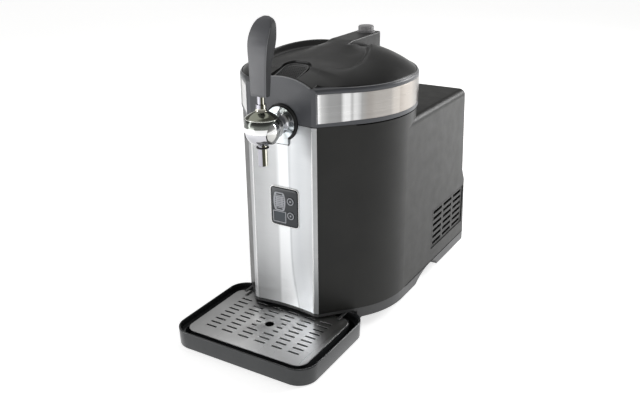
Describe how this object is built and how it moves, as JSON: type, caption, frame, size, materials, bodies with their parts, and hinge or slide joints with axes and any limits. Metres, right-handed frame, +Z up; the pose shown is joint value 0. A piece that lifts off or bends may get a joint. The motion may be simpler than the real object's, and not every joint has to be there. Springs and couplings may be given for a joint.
{
  "type": "mini keg beer dispenser",
  "caption": "Upright cooler for one mini keg with a hinged domed lid, a lever tap on a stainless front and a drip tray.",
  "frame": {"origin": "on the table, under the middle of the whole with its drip tray", "axes": "+Z up, -Y towards the user (tap side), +X to the user's right"},
  "size_m": [0.2512, 0.5036, 0.4415],
  "materials": {
    "housing_grey": "satin dark grey moulding",
    "lid_grey": "satin dark grey moulding",
    "black_plastic": "fine textured black",
    "gloss_black": "polished black",
    "window": "smoked window",
    "stainless": "vertical brushed",
    "chrome": "polished",
    "aluminium": "bare",
    "foam": "rigid foam",
    "rubber": "matt",
    "zinc": "plated steel",
    "white_plastic": "matt",
    "green_board": "circuit board"
  },
  "bodies": {
    "cabinet": {"base_pan": "black_plastic", "rubber_feet": "rubber", "housing": "housing_grey", "front_panel": "stainless", "control_panel": "gloss_black", "display_window": "window", "control_board": "green_board", "side_vent_right": "black_plastic", "side_vent_left": "black_plastic", "rear_grille": "black_plastic", "power_inlet": "black_plastic", "keg_chamber": "aluminium", "chamber_collar": "white_plastic", "insulation": "foam", "cold_block": "aluminium", "peltier_module": "white_plastic", "heat_sink": "aluminium", "fan_frame": "black_plastic", "supply_shelf": "zinc", "power_supply": "zinc", "hinge_brackets": "zinc", "hinge_pin": "zinc", "latch_keepers": "zinc", "tap_flange": "chrome", "tap_shank": "chrome", "shank_nut": "chrome", "hose_barb": "white_plastic", "tap_body": "chrome", "tap_ring": "chrome", "tap_nozzle": "chrome", "nozzle_o_ring": "rubber", "pivot_pin": "zinc"},
    "lid": {"lid_ring": "lid_grey", "trim_band_right": "stainless", "trim_band_left": "stainless", "lid_shell": "lid_grey", "lid_liner": "white_plastic", "lid_seal": "rubber", "latch_pin": "zinc", "knob_collar": "lid_grey", "relief_valve": "white_plastic"},
    "push_button": {"latch_button": "lid_grey"},
    "latch": {"latch_bar": "black_plastic"},
    "knob": {"relief_knob": "lid_grey"},
    "lever": {"lever_hood": "chrome", "lever_stem": "chrome", "lever_sleeve": "chrome", "tap_handle": "black_plastic"},
    "plunger": {"valve_plunger": "white_plastic"},
    "upper_button": {"button_upper": "black_plastic"},
    "lower_button": {"button_lower": "black_plastic"},
    "tray": {"drip_tray": "gloss_black"},
    "grate": {"drip_grate": "stainless"},
    "fan": {"fan_rotor": "black_plastic"}
  },
  "joints": [
    {"name": "lid_hinge", "type": "hinge", "parent": "cabinet", "child": "lid", "pos_m": [0, 0.1298, 0.296], "axis": [-1, 0, 0], "range_deg": [0, 85]},
    {"name": "latch_press", "type": "slide", "parent": "lid", "child": "push_button", "axis": [0, 0, -1], "range_m": [0, 0.002], "stiffness_N_per_m": 1500, "springref_m": -0.0008},
    {"name": "latch_release", "type": "hinge", "parent": "lid", "child": "latch", "pos_m": [0, -0.1082, 0.33], "axis": [1, 0, 0], "range_deg": [0, 11.3]},
    {"name": "knob_turn", "type": "hinge", "parent": "lid", "child": "knob", "pos_m": [0, 0.1078, 0.388], "axis": [0, 0, 1], "range_deg": [0, 270]},
    {"name": "tap_lever", "type": "hinge", "parent": "cabinet", "child": "lever", "pos_m": [0, -0.1712, 0.302], "axis": [1, 0, 0], "range_deg": [0, 35]},
    {"name": "valve_slide", "type": "slide", "parent": "cabinet", "child": "plunger", "axis": [0, 1, 0], "range_m": [0, 0.0052]},
    {"name": "upper_press", "type": "slide", "parent": "cabinet", "child": "upper_button", "axis": [0, 1, 0], "range_m": [0, 0.0006], "stiffness_N_per_m": 1000, "springref_m": -0.0004},
    {"name": "lower_press", "type": "slide", "parent": "cabinet", "child": "lower_button", "axis": [0, 1, 0], "range_m": [0, 0.0006], "stiffness_N_per_m": 1000, "springref_m": -0.0004},
    {"name": "tray_slide", "type": "slide", "parent": "cabinet", "child": "tray", "axis": [0, -1, 0], "range_m": [0, 0.17]},
    {"name": "grate_tilt", "type": "hinge", "parent": "tray", "child": "grate", "pos_m": [0, -0.1067, 0.02155], "axis": [-1, 0, 0], "range_deg": [0, 9]},
    {"name": "fan_spin", "type": "hinge", "parent": "cabinet", "child": "fan", "pos_m": [0, 0.1743, 0.108], "axis": [0, 1, 0], "continuous": true}
  ],
  "couplings": [
    {"joint": "latch_release", "follows": "latch_press", "rad_per_m": 98.6},
    {"joint": "valve_slide", "follows": "tap_lever", "m_per_rad": 0.00845}
  ]
}
